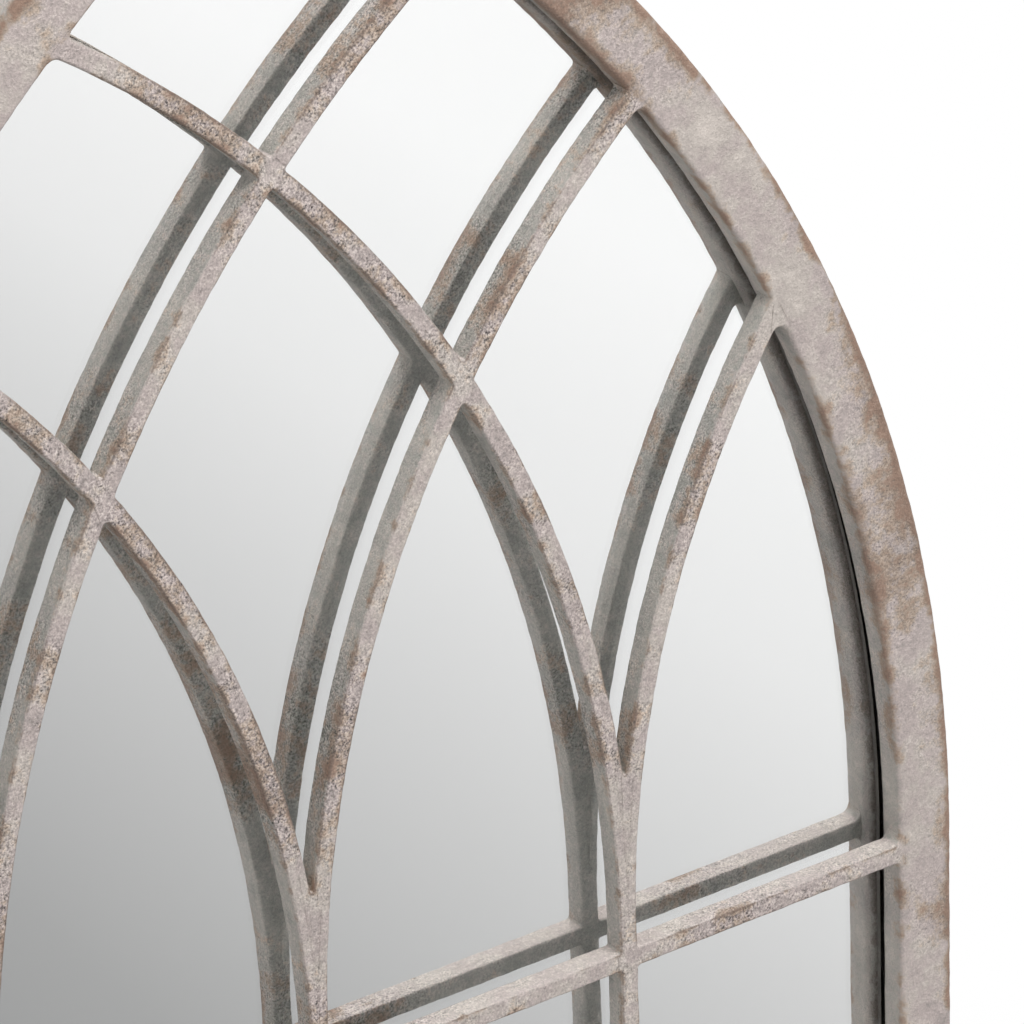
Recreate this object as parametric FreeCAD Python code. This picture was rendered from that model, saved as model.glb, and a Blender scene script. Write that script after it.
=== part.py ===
import FreeCAD, Part
import math
import os

# Garden mirror: a pointed window arch in painted iron, with intersecting tracery over one pane.
# The row's origin is on the wall plane, halfway between the two hanging keyholes.
# +X is to the right seen from the front, +Y goes back into the wall, +Z is up.
# Sizes are in millimetres.

V = FreeCAD.Vector
BACKWARD = V(0, 1, 0)
FORWARD = V(0, -1, 0)
SIDEWAYS = V(1, 0, 0)

# Outer frame, a folded sheet section that runs round the whole opening
inner_half_width = 369.5
frame_face = 34.5
frame_depth = 35.0
springing_height = 788.0
arch_inner_radius = 795.5
frame_sheet = 2.0
outer_edge_radius = 4.0
inner_edge_radius = 3.0
reveal_depth = 19.5
ledge_width = 12.0
ledge_bend_radius = 1.5

# Glazing bars and tracery, square iron bar set flush with the front of the frame
mullion_pitch = 191.0
bar_face = 10.6
bar_depth = 12.3
bar_edge_radius = 1.6
tracery_rise = 18.5
long_arc_radius = 695.0
middle_arc_radius = 610.0
short_arc_radius = 560.0
transom_drop = 3.5
lower_bar_count = 2
lap_clearance = 0.05

# Weld fillets in the corners of the joints
frame_weld_radius = 6.0
crossing_weld_radius = 3.0
notch_weld_radius = 1.8
weld_bite = 0.12
weld_root = 2.5
weld_back_inset = 0.4

# Glazing stack behind the ledge
tape_width = 8.0
tape_thickness = 2.8
tape_setback = 1.5
pane_edge_clearance = 1.5
glass_thickness = 4.0
coat_thickness = 0.12
board_thickness = 3.0
board_edge_clearance = 2.2

# Bent tabs that hold the board
tab_sheet = 1.2
tab_width = 16.0
tab_reach = 15.0
tab_bend_radius = 1.8
tab_rear_setback = 1.2
tab_seat_clearance = 0.1
stile_tab_count = 3
rail_tab_count = 3
arch_tab_count = 4

# Keyhole hanging plates
hanger_rise = 150.0
hanger_sheet = 2.0
hanger_reach = 46.0
hanger_height = 64.0
hanger_corner_radius = 5.0
keyhole_inset = 23.0
keyhole_head_radius = 5.0
keyhole_slot_width = 5.6
keyhole_travel = 11.0
hanger_weld_leg = 3.0

# A rounded edge is made of flats about this wide, which keeps the long curved pieces light
rounding_flat = 2.0

# Cutting tools run past what they cut by this much
overrun = 4.0

# Places that follow from the sizes above
outer_half_width = inner_half_width + frame_face
arch_centre_x = inner_half_width - arch_inner_radius
arch_outer_radius = arch_inner_radius + frame_face
z_springing = -hanger_rise
z_bottom = z_springing - springing_height
z_sill = z_bottom + frame_face
z_tracery = z_springing + tracery_rise
z_transom = z_springing - transom_drop
y_front = -frame_depth
wall_inside = frame_face - frame_sheet
glass_depth = reveal_depth + tape_thickness
coat_depth = glass_depth + glass_thickness
board_depth = coat_depth + coat_thickness
board_back_depth = board_depth + board_thickness
half_bar = bar_face / 2


def place(x, depth, z):
    """Point at a depth behind the front plane."""
    return V(x, y_front + depth, z)


def rounded_wire(corners):
    """Closed wire through (point, radius) corners, each rounded by a fan of flats on a tangent arc."""
    points = []
    for index, (corner, radius) in enumerate(corners):
        if radius == 0:
            points.append(corner)
            continue
        before = (corners[index - 1][0] - corner).normalize()
        after = (corners[(index + 1) % len(corners)][0] - corner).normalize()
        half_angle = before.getAngle(after) / 2
        run = radius / math.tan(half_angle)
        middle = corner + (before + after).normalize() * (radius / math.sin(half_angle) - radius)
        arc = Part.Arc(corner + before * run, middle, corner + after * run)
        points += arc.discretize(max(1, round(arc.length() / rounding_flat)) + 1)
    return Part.makePolygon(points + points[:1])


def plan_prism(points, from_depth, to_depth):
    """Prism of a plan outline, given as (x, z) pairs, between two depths."""
    corners = [place(x, from_depth, z) for x, z in points]
    face = Part.Face(Part.makePolygon(corners + corners[:1]))
    return face.extrude(BACKWARD * (to_depth - from_depth))


def mirrored(shape):
    """The same piece on the other side of the centre line."""
    return shape.mirror(V(0, 0, 0), SIDEWAYS)


# Sections, as corners (distance out from the opening, depth, rounding radius)

def sheet_section():
    return [
        (frame_face, frame_depth, 0),
        (frame_face, 0, outer_edge_radius),
        (0, 0, inner_edge_radius),
        (0, reveal_depth, ledge_bend_radius),
        (ledge_width, reveal_depth, 0),
        (ledge_width, reveal_depth - frame_sheet, 0),
        (frame_sheet, reveal_depth - frame_sheet, 0),
        (frame_sheet, frame_sheet, 0),
        (wall_inside, frame_sheet, 0),
        (wall_inside, frame_depth, 0),
    ]


def envelope_section():
    return [
        (frame_face, frame_depth, 0),
        (frame_face, 0, outer_edge_radius),
        (0, 0, inner_edge_radius),
        (0, reveal_depth, ledge_bend_radius),
        (ledge_width, reveal_depth, 0),
        (ledge_width, frame_depth, 0),
    ]


def tape_section():
    far = tape_setback + tape_width
    return [
        (tape_setback, reveal_depth, 0),
        (far, reveal_depth, 0),
        (far, glass_depth, 0),
        (tape_setback, glass_depth, 0),
    ]


def section_face(section):
    """The section standing at the springing of the right-hand side."""
    corners = [(place(inner_half_width + out, depth, z_springing), radius) for out, depth, radius in section]
    return Part.Face(rounded_wire(corners))


def right_stile(section):
    """Section run down from the springing and mitred at the sill corner."""
    run = section_face(section).extrude(V(0, 0, z_bottom - z_springing - overrun))
    inward = frame_face + overrun
    keep = plan_prism(
        [
            (outer_half_width + overrun, z_bottom - overrun),
            (outer_half_width - inward, z_bottom + inward),
            (outer_half_width - inward, z_springing),
            (outer_half_width + overrun, z_springing),
        ],
        -overrun,
        frame_depth + overrun,
    )
    return run.common(keep).Solids[0]


def sill(section):
    """Section turned to run along the bottom and mitred at both corners."""
    face = section_face(section)
    face.translate(V(-inner_half_width, 0, -z_springing))
    face.rotate(V(0, 0, 0), BACKWARD, math.degrees(math.pi / 2))
    face.translate(V(-outer_half_width - overrun, 0, z_sill))
    run = face.extrude(V(2 * (outer_half_width + overrun), 0, 0))
    inward = frame_face + overrun
    keep = plan_prism(
        [
            (-outer_half_width - overrun, z_bottom - overrun),
            (outer_half_width + overrun, z_bottom - overrun),
            (outer_half_width - inward, z_bottom + inward),
            (inward - outer_half_width, z_bottom + inward),
        ],
        -overrun,
        frame_depth + overrun,
    )
    return run.common(keep).Solids[0]


def right_arch(section):
    """Section turned about the arch's centre and cut off plumb at the apex."""
    centre = V(arch_centre_x, 0, z_springing)
    sweep = math.degrees(math.acos(-arch_centre_x / (arch_outer_radius + overrun)))
    run = section_face(section).revolve(centre, FORWARD, sweep)
    top = z_springing + arch_outer_radius
    keep = plan_prism(
        [
            (0, z_springing),
            (outer_half_width + overrun, z_springing),
            (outer_half_width + overrun, top),
            (0, top),
        ],
        -overrun,
        frame_depth + overrun,
    )
    return run.common(keep).Solids[0]


def frame_run(section, name):
    """The five members that one section makes, by node name."""
    stile = right_stile(section)
    arch = right_arch(section)
    return {
        name + "_right_stile": stile,
        name + "_left_stile": mirrored(stile),
        name + "_bottom_rail": sill(section),
        name + "_right_arch": arch,
        name + "_left_arch": mirrored(arch),
    }


# Plan curves: the edges of bars and frame, seen from the front

class Round:
    """Circular edge; free is 1 where the open space lies outside the circle, -1 inside."""

    def __init__(self, x, z, radius, free):
        self.centre = V(x, 0, z)
        self.radius = radius
        self.free = free

    def offset(self, distance):
        return Round(self.centre.x, self.centre.z, self.radius + self.free * distance, self.free)

    def foot(self, point):
        return self.centre + (point - self.centre).normalize() * self.radius


class Straight:
    """Straight edge through a point; the normal points into the open space."""

    def __init__(self, x, z, normal_x, normal_z):
        self.point = V(x, 0, z)
        self.normal = V(normal_x, 0, normal_z)

    def offset(self, distance):
        moved = self.point + self.normal * distance
        return Straight(moved.x, moved.z, self.normal.x, self.normal.z)

    def foot(self, point):
        return point - self.normal * (point - self.point).dot(self.normal)


def meet(first, second, near):
    """Crossing of two plan curves that lies nearest to a point."""
    if isinstance(first, Straight) and isinstance(second, Straight):
        along = first.normal.cross(BACKWARD)
        distance = (second.point - first.point).dot(second.normal) / along.dot(second.normal)
        return first.point + along * distance
    if isinstance(first, Straight):
        first, second = second, first
    if isinstance(second, Straight):
        base = second.foot(first.centre)
        along = second.normal.cross(BACKWARD)
        reach = math.sqrt(first.radius ** 2 - (base - first.centre).Length ** 2)
    else:
        axis = second.centre - first.centre
        span = axis.Length
        share = (span ** 2 + first.radius ** 2 - second.radius ** 2) / (2 * span ** 2)
        base = first.centre + axis * share
        along = axis.cross(BACKWARD).normalize()
        reach = math.sqrt(first.radius ** 2 - (share * span) ** 2)
    found = [base + along * reach, base - along * reach]
    return min(found, key=near.distanceToPoint)


# Bars: each knows its plan, its two edges and its solid

class StraightBar:
    """Bar from one plan point to another, standing or lying."""

    def __init__(self, start, finish):
        self.start = start
        self.finish = finish
        self.along = (finish - start).normalize()
        self.side = self.along.cross(BACKWARD)

    def centre_line(self):
        return Straight(self.start.x, self.start.z, self.side.x, self.side.z)

    def edges(self):
        found = []
        for sign in (1, -1):
            normal = self.side * sign
            point = self.start + normal * half_bar
            found.append(Straight(point.x, point.z, normal.x, normal.z))
        return found

    def solid(self, width, near_depth, far_depth, radius):
        face = bar_section(self.start, self.side, width, near_depth, far_depth, radius)
        return face.extrude(self.finish - self.start)


class ArcBar:
    """Bar that springs plumb from a mullion and leans over to one side."""

    def __init__(self, mullion_x, radius, lean):
        self.mullion_x = mullion_x
        self.radius = radius
        self.lean = lean
        self.centre = V(mullion_x + lean * radius, 0, z_tracery)
        arch = Round(lean * arch_centre_x, z_springing, arch_inner_radius, -1)
        self.end = meet(self.centre_line(), arch, V(lean * inner_half_width, 0, z_springing + arch_inner_radius))

    def centre_line(self):
        return Round(self.centre.x, self.centre.z, self.radius, 1)

    def edges(self):
        return [
            Round(self.centre.x, self.centre.z, self.radius + half_bar, 1),
            Round(self.centre.x, self.centre.z, self.radius - half_bar, -1),
        ]

    def solid(self, width, near_depth, far_depth, radius):
        start = V(self.mullion_x, 0, z_tracery)
        face = bar_section(start, SIDEWAYS, width, near_depth, far_depth, radius)
        reach = (start - self.centre).getAngle(self.end - self.centre) + frame_face / 2 / self.radius
        return face.revolve(self.centre, BACKWARD * self.lean, math.degrees(reach))


def bar_section(centre, side, width, near_depth, far_depth, radius):
    """Rectangle across a bar, between two depths, with its two front corners rounded."""
    reach = side * (width / 2)
    near = BACKWARD * (y_front + near_depth)
    far = BACKWARD * (y_front + far_depth)
    corners = [
        (centre + reach + near, radius),
        (centre - reach + near, radius),
        (centre - reach + far, 0),
        (centre + reach + far, 0),
    ]
    return Part.Face(rounded_wire(corners))


def full_bar(bar):
    return bar.solid(bar_face, 0, bar_depth, bar_edge_radius)


def lap_slot(bar, front):
    """What one bar takes out of another where they are halved over each other."""
    middle = bar_depth / 2
    near, far = (-overrun, middle + lap_clearance) if front else (middle - lap_clearance, bar_depth + overrun)
    return bar.solid(bar_face + 2 * lap_clearance, near, far, 0)


def lower_bar_heights():
    """Centres of the lower glazing bars, which part the straight lights into equal panes."""
    clear = z_transom - half_bar - z_sill
    pane = (clear - lower_bar_count * bar_face) / (lower_bar_count + 1)
    return [z_sill + (index + 1) * pane + index * bar_face + half_bar for index in range(lower_bar_count)]


def half_plan(mullion_x, lean):
    """Everything on one side of a mullion's centre plane, as tall as the arch."""
    far = mullion_x + lean * 2 * outer_half_width
    top = z_springing + arch_outer_radius
    points = [(mullion_x, z_springing), (far, z_springing), (far, top), (mullion_x, top)]
    return plan_prism(points, -overrun, bar_depth + overrun)


def fused(shapes):
    first, *others = shapes
    return first.fuse(others)


def lay_out_bars():
    """Plan of every bar, by node name."""
    x_left, x_centre, x_right = -mullion_pitch, 0, mullion_pitch
    reach = inner_half_width + frame_face / 2
    bars = {}
    for side, x in (("left", x_left), ("centre", x_centre), ("right", x_right)):
        bars["mullion_" + side] = StraightBar(V(x, 0, z_bottom + frame_face / 2), V(x, 0, z_tracery))
    bars["springing_transom"] = StraightBar(V(-reach, 0, z_transom), V(reach, 0, z_transom))
    for number, z in enumerate(lower_bar_heights(), 1):
        bars[f"lower_glazing_bar_{number}"] = StraightBar(V(-reach, 0, z), V(reach, 0, z))
    bars["long_arc_rightward"] = ArcBar(x_left, long_arc_radius, 1)
    bars["middle_arc_rightward"] = ArcBar(x_centre, middle_arc_radius, 1)
    bars["short_arc_rightward"] = ArcBar(x_right, short_arc_radius, 1)
    bars["long_arc_leftward"] = ArcBar(x_right, long_arc_radius, -1)
    bars["middle_arc_leftward"] = ArcBar(x_centre, middle_arc_radius, -1)
    bars["short_arc_leftward"] = ArcBar(x_left, short_arc_radius, -1)
    return bars


CROSSING_ARCS = [
    ("long_arc_rightward", "long_arc_leftward"),
    ("middle_arc_rightward", "long_arc_leftward"),
    ("long_arc_rightward", "middle_arc_leftward"),
]


def lying_bars(bars):
    return [name for name in bars if name.startswith(("springing", "lower"))]


def cut_bars(bars, envelope):
    """Every bar coped to the frame, mitred over its mullion and halved at its crossings."""
    solids = {name: full_bar(bar).cut(envelope) for name, bar in bars.items()}
    for name, bar in bars.items():
        if isinstance(bar, ArcBar):
            solids[name] = solids[name].common(half_plan(bar.mullion_x, bar.lean))
    laps = list(CROSSING_ARCS)
    for lying in lying_bars(bars):
        laps += [(name, lying) for name in bars if name.startswith("mullion")]
    for over, under in laps:
        solids[over] = solids[over].cut(lap_slot(bars[under], False))
        solids[under] = solids[under].cut(lap_slot(bars[over], True))
    return {name: largest_solid(shape) for name, shape in solids.items()}


def largest_solid(shape):
    return max(shape.Solids, key=lambda solid: solid.Volume)


# Weld fillets

def weld_fillet(first, second, near, radius, obstacles):
    """Concave fillet between two plan edges, over the depth of a bar, flush at the front."""
    corner = meet(first, second, near)
    heart = meet(first.offset(radius - weld_bite), second.offset(radius - weld_bite), corner)
    ends = []
    for edge in (first, second):
        touch = edge.foot(heart)
        ends.append(touch + (touch - heart).normalize() * weld_root)
    beyond = corner + (corner - heart).normalize() * weld_root
    outline = [heart, ends[0], beyond, ends[1]]
    far_depth = bar_depth - weld_back_inset
    block = plan_prism([(point.x, point.z) for point in outline], 0, far_depth)
    core = Part.makeCylinder(radius, far_depth + 2 * overrun, place(heart.x, -overrun, heart.z), BACKWARD)
    return largest_solid(block.cut([core] + obstacles))


def opening_edges():
    """Inner edges of the frame, seen from the front, by side."""
    return {
        "right_arch": Round(arch_centre_x, z_springing, arch_inner_radius, -1),
        "left_arch": Round(-arch_centre_x, z_springing, arch_inner_radius, -1),
        "right_stile": Straight(inner_half_width, z_springing, -1, 0),
        "left_stile": Straight(-inner_half_width, z_springing, 1, 0),
        "sill": Straight(0, z_sill, 0, 1),
    }


def crossing_welds(bars):
    """Four fillets at each place where one bar crosses another."""
    pairs = list(CROSSING_ARCS)
    for lying in lying_bars(bars):
        pairs += [(name, lying) for name in bars if name.startswith("mullion")]
    welds = []
    for first, second in pairs:
        over, under = bars[first], bars[second]
        near = over.start if isinstance(over, StraightBar) else over.end
        middle = meet(over.centre_line(), under.centre_line(), near)
        obstacles = [full_bar(over), full_bar(under)]
        for first_edge in over.edges():
            for second_edge in under.edges():
                welds.append(weld_fillet(first_edge, second_edge, middle, crossing_weld_radius, obstacles))
    return welds


def notch_welds(bars):
    """One fillet in the notch over each mullion, where its two arcs part."""
    springing = {}
    for name, bar in bars.items():
        if isinstance(bar, ArcBar):
            springing.setdefault(bar.mullion_x, []).append(name)
    welds = []
    for mullion_x, (first, second) in springing.items():
        outer_edges = [bars[name].edges()[0] for name in (first, second)]
        above = V(mullion_x, 0, z_springing + arch_inner_radius)
        obstacles = [full_bar(bars[first]), full_bar(bars[second])]
        welds.append(weld_fillet(*outer_edges, above, notch_weld_radius, obstacles))
    return welds


def frame_welds(bars, envelope):
    """Two fillets at each end of a bar that meets the frame."""
    edges = opening_edges()
    welds = []
    for name, bar in bars.items():
        if isinstance(bar, ArcBar):
            ends = [(edges["right_arch" if bar.lean > 0 else "left_arch"], bar.end)]
        elif name.startswith("mullion"):
            ends = [(edges["sill"], bar.start)]
        else:
            ends = [(edges["left_stile"], bar.start), (edges["right_stile"], bar.finish)]
        for wall, near in ends:
            for edge in bar.edges():
                welds.append(weld_fillet(edge, wall, near, frame_weld_radius, [full_bar(bar), envelope]))
    return welds


# Glazing

def pane(inset, from_depth, thickness):
    """Arched sheet whose edge lies inside the frame's outer edge by the inset."""
    half_width = outer_half_width - inset
    radius = arch_outer_radius - inset
    apex = z_springing + math.sqrt(radius ** 2 - arch_centre_x ** 2)
    lean = math.acos(-arch_centre_x / radius) / 2
    middle_x = arch_centre_x + radius * math.cos(lean)
    middle_z = z_springing + radius * math.sin(lean)
    bottom = z_bottom + inset
    right_foot = place(half_width, from_depth, z_springing)
    left_foot = place(-half_width, from_depth, z_springing)
    top = place(0, from_depth, apex)
    edges = [
        Part.LineSegment(place(-half_width, from_depth, bottom), place(half_width, from_depth, bottom)),
        Part.LineSegment(place(half_width, from_depth, bottom), right_foot),
        Part.Arc(right_foot, place(middle_x, from_depth, middle_z), top),
        Part.Arc(top, place(-middle_x, from_depth, middle_z), left_foot),
        Part.LineSegment(left_foot, place(-half_width, from_depth, bottom)),
    ]
    face = Part.Face(Part.Wire([edge.toShape() for edge in edges]))
    return face.extrude(BACKWARD * thickness)


def tab_at_springing():
    """Bent tab on the right-hand outer wall, centred on the springing."""
    root = wall_inside - tab_seat_clearance
    rear = frame_depth - tab_rear_setback
    section = [
        (root, board_back_depth, tab_bend_radius),
        (root, rear, 0),
        (root - tab_sheet, rear, 0),
        (root - tab_sheet, board_back_depth + tab_sheet, 0),
        (root - tab_reach, board_back_depth + tab_sheet, 0),
        (root - tab_reach, board_back_depth, 0),
    ]
    tab = section_face(section).extrude(V(0, 0, tab_width))
    tab.translate(V(0, 0, -tab_width / 2))
    return tab


def even_shares(count):
    return [(index + 0.5) / count for index in range(count)]


def retaining_tabs():
    """Tabs of each frame member, as groups of separate solids."""
    centre = V(arch_centre_x, 0, z_springing)
    apex_lean = math.degrees(math.acos(-arch_centre_x / arch_outer_radius))
    stile, arch, rail = [], [], []
    for share in even_shares(stile_tab_count):
        tab = tab_at_springing()
        tab.translate(V(0, 0, -share * springing_height))
        stile.append(tab)
    for share in even_shares(arch_tab_count):
        tab = tab_at_springing()
        tab.rotate(centre, FORWARD, share * apex_lean)
        arch.append(tab)
    for share in even_shares(rail_tab_count):
        tab = tab_at_springing()
        tab.translate(V(-inner_half_width, 0, -z_springing))
        tab.rotate(V(0, 0, 0), BACKWARD, math.degrees(math.pi / 2))
        tab.translate(V((2 * share - 1) * inner_half_width, 0, z_sill))
        rail.append(tab)
    return {
        "board_tabs_right_stile": Part.makeCompound(stile),
        "board_tabs_left_stile": mirrored(Part.makeCompound(stile)),
        "board_tabs_bottom_rail": Part.makeCompound(rail),
        "board_tabs_right_arch": Part.makeCompound(arch),
        "board_tabs_left_arch": mirrored(Part.makeCompound(arch)),
    }


# Hanging plates

def wall_inside_x():
    """Where the inside of the right-hand outer wall stands at the height of the keyholes."""
    return arch_centre_x + math.sqrt((arch_outer_radius - frame_sheet) ** 2 - hanger_rise ** 2)


def right_hanger():
    """Plate across the corner behind the board, with a keyhole whose slot points up."""
    from_depth = frame_depth - hanger_sheet
    inner_x = wall_inside_x() - hanger_reach
    outer_x = wall_inside_x() + frame_face
    half_height = hanger_height / 2
    corners = [
        (place(inner_x, from_depth, -half_height), hanger_corner_radius),
        (place(outer_x, from_depth, -half_height), 0),
        (place(outer_x, from_depth, half_height), 0),
        (place(inner_x, from_depth, half_height), hanger_corner_radius),
    ]
    plate = Part.Face(rounded_wire(corners)).extrude(BACKWARD * hanger_sheet)
    plate = plate.common(pane(frame_sheet, from_depth, hanger_sheet))
    keyhole_x = wall_inside_x() - keyhole_inset
    half_slot = keyhole_slot_width / 2
    base = place(keyhole_x, from_depth - overrun, 0)
    depth = hanger_sheet + 2 * overrun
    head = Part.makeCylinder(keyhole_head_radius, depth, base, BACKWARD)
    seat = Part.makeCylinder(half_slot, depth, base + V(0, 0, keyhole_travel), BACKWARD)
    slot = plan_prism(
        [
            (keyhole_x - half_slot, 0),
            (keyhole_x + half_slot, 0),
            (keyhole_x + half_slot, keyhole_travel),
            (keyhole_x - half_slot, keyhole_travel),
        ],
        from_depth - overrun,
        frame_depth + overrun,
    )
    return plate.cut([head, seat, slot]).removeSplitter().Solids[0]


def right_hanger_weld():
    """Bead in the corner between the plate's front face and the frame's outer wall."""
    seat_depth = frame_depth - hanger_sheet
    section = [
        (wall_inside, seat_depth, 0),
        (wall_inside - hanger_weld_leg, seat_depth, 0),
        (wall_inside, seat_depth - hanger_weld_leg, 0),
    ]
    centre = V(arch_centre_x, 0, z_springing)
    radius = arch_outer_radius - frame_sheet
    half_height = hanger_height / 2 - hanger_corner_radius
    low = math.degrees(math.asin((hanger_rise - half_height) / radius))
    high = math.degrees(math.asin((hanger_rise + half_height) / radius))
    face = section_face(section)
    face.rotate(centre, FORWARD, low)
    return face.revolve(centre, FORWARD, high - low)


def build():
    """Every node of the mirror, by name."""
    nodes = frame_run(sheet_section(), "frame")
    envelope = fused(list(frame_run(envelope_section(), "envelope").values()))
    bars = lay_out_bars()
    nodes.update(cut_bars(bars, envelope))
    nodes["crossing_welds"] = Part.makeCompound(crossing_welds(bars))
    nodes["notch_welds"] = Part.makeCompound(notch_welds(bars))
    nodes["frame_welds"] = Part.makeCompound(frame_welds(bars, envelope))
    nodes.update(frame_run(tape_section(), "glazing_tape"))
    nodes["mirror_glass"] = pane(frame_sheet + pane_edge_clearance, glass_depth, glass_thickness)
    nodes["silver_coat"] = pane(frame_sheet + pane_edge_clearance, coat_depth, coat_thickness)
    nodes["backing_board"] = pane(frame_sheet + board_edge_clearance, board_depth, board_thickness)
    nodes.update(retaining_tabs())
    hanger = right_hanger()
    weld = right_hanger_weld()
    nodes["hanger_plate_right"] = hanger
    nodes["hanger_plate_left"] = mirrored(hanger)
    nodes["hanger_welds"] = Part.makeCompound([weld, mirrored(weld)])
    return nodes


os.makedirs("parts", exist_ok=True)
for node, shape in build().items():
    shape.exportStep("parts/" + node + ".step")
    print(node, len(shape.Solids), "solids,", round(shape.Volume), "mm3, valid:", shape.isValid())
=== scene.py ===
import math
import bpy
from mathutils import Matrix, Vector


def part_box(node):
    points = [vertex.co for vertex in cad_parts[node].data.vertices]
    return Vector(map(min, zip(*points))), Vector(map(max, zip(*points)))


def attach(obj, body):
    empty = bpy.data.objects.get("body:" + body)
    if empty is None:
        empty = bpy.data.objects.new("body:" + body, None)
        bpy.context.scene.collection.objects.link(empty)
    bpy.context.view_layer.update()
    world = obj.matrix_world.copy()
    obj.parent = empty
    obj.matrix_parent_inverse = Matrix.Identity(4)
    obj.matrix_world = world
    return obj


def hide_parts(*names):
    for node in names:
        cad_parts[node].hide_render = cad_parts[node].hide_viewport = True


bl_info = {
    "name": "Garden mirror",
    "version": (1, 0, 0),
    "blender": (4, 5, 0),
    "location": "3D View > Sidebar > Garden Mirror",
    "description": "Finishes the painted frame, bars, welds, pane and back of a pointed garden mirror",
    "category": "Object",
}

import bpy
import numpy as np
from bpy.props import FloatProperty, FloatVectorProperty, PointerProperty
from bpy.types import Operator, Panel, PropertyGroup
from mathutils import Matrix

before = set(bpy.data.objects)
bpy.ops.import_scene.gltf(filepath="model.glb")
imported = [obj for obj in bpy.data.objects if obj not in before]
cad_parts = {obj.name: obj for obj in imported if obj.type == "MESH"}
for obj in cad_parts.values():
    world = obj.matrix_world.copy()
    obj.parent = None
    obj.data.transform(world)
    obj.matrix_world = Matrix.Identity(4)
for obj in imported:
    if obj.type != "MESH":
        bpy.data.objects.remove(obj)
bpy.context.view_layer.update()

MM = 0.001

# Places read off the frame: x to the right, y back into the wall, z up
stile_low, stile_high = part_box("frame_right_stile")
arch_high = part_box("frame_right_arch")[1]
rail_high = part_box("frame_bottom_rail")[1]
mullion_low, mullion_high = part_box("mullion_right")
transom_low, transom_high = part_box("springing_transom")
glass_low, glass_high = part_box("mirror_glass")
tape_low, tape_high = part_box("glazing_tape_right_stile")

front = stile_low.y
frame_depth = stile_high.y - front
opening_half = stile_low.x
outer_half = stile_high.x
frame_face = outer_half - opening_half
springing = stile_high.z
bottom = stile_low.z
sill = rail_high.z
arch_rise = arch_high.z - springing
arch_outer_radius = (arch_rise ** 2 + outer_half ** 2) / (2 * outer_half)
arch_centre = outer_half - arch_outer_radius
arch_radius = arch_outer_radius - frame_face
mullion_pitch = (mullion_low.x + mullion_high.x) / 2
tracery = mullion_high.z
bar_face = transom_high.z - transom_low.z
solid_bar_depth = transom_high.y - transom_low.y
reveal_depth = tape_low.y - front
glass_edge = outer_half - glass_high.x
glass_front = glass_low.y - front
glass_back = glass_high.y - front

# Nodes of the straight bars; a mullion's number counts pitches from the middle
MULLIONS = {"mullion_left": -1, "mullion_centre": 0, "mullion_right": 1}
LYING_BARS = ("springing_transom", "lower_glazing_bar_1", "lower_glazing_bar_2")

# Sizes of the frame's section that the frame file doesn't give
sheet = 2.0 * MM
ledge_width = 12.0 * MM
ledge_bend = 5.6 * MM
outer_edge = 3.2 * MM
inner_edge = 3.0 * MM

# Section of the bars, which are deeper at the back than their solids
bar_edge = 1.6 * MM
bar_back_edge = 1.5 * MM
back_fullness = 1.5 * MM
bar_depth = solid_bar_depth + back_fullness

# Welds: their back stays inside the bars, and the parts that no one sees end just under the front
weld_depth = bar_depth - 0.2 * MM
weld_pole_inset = 0.3 * MM
skirt_depth = 1.4 * MM
notch_reach = 20.0 * MM

# How far bars run into the frame's wall, and the gap that parts the glass from its silver
wall_bite = 1.0 * MM
silver_gap = 0.02 * MM

# How far each layer of metal stays behind the front plane, so that one of them is always on top
frame_flush = 0.08 * MM
rightward_flush = 0.08 * MM
leftward_flush = 0.12 * MM
lying_flush = 0.16 * MM

# Dents: shortest and longest waves, the seeds of their random draws, and the long ones' share of the
# depth; fullness 0.5 lets the bars' sides move out as much as in
long_dents = (8 * MM, 45 * MM, 11)
short_dents = (4.5 * MM, 8 * MM, 5)
long_dent_share = 0.65
bar_fullness = 0.6
RIPPLE_WAVES = 18
RIPPLE_GAIN = 1.6

# Paint values: wear is 1 at bare metal, wash is 1 under a full top coat, edge is 1 on a dark line along
# edges, which is painted shade at the frame's inner edge, behind the reveal and in weld corners, and grit
# is 1 for the bars' grain
frame_grit = 0.55
frame_wall_wash = 0.55
wall_wash = 0.45
# Wash taken off the bars' backs: a thinner coat that also paints their shade
back_wash_and_shade_loss = 0.1
bar_bloom = 0.08
wall_bloom = 0.13
# Painted shade on the walls of the weld fillets, in the corners where bars meet bars and the frame
corner_shade = 0.45
wall_blend = 3 * MM
lip_reach = 2 * MM
edge_reach = 2.2 * MM

# Lines of paint values along the frame and the bars: the strength, the place out from the opening or
# from the bar's wall, the depth behind the front, and how far the line reaches
RIM = (1.25, frame_face, 0.5 * MM, 9 * MM)
RIM_LINE = (0.35, frame_face, 1 * MM, 4 * MM)
RIM_BLOOM = (0.4, frame_face, 0, 30 * MM)
INNER_BAND = (0.80, 0.5 * MM, 2.0 * MM, 8.5 * MM)
# Dark line of painted shade along the frame's inner front edge, where the face turns into the reveal
INNER_EDGE_SHADE = (0.9, 0, 0, 1.3 * edge_reach)
# Painted highlight: full wash along the foot of the reveal wall, where it bends into the ledge
LIP_HIGHLIGHT = (1, 0, reveal_depth - lip_reach, lip_reach)
BAR_RUB = (0.34, 0, 1.5 * MM, 4.8 * MM)
# Dark line along each front edge of a bar or weld
BAR_EDGE_DARKENING = (1.25, 0, 0, edge_reach)

# Upward parts of a normal between which a face counts as looking down, upright and level, and the painted
# light that raises the wash on level faces, so that they look lit from above
FACING = (-0.8, -0.2, 0.75, 0.95)
top_painted_light = 0.75

# Sizes of the paint's noises
cloud_size = 80 * MM
blotch_size = 15 * MM
cluster_size = 8 * MM
crumb_size = 3.2 * MM
pit_size = 1.6 * MM
grain_size = 1.1 * MM

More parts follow.
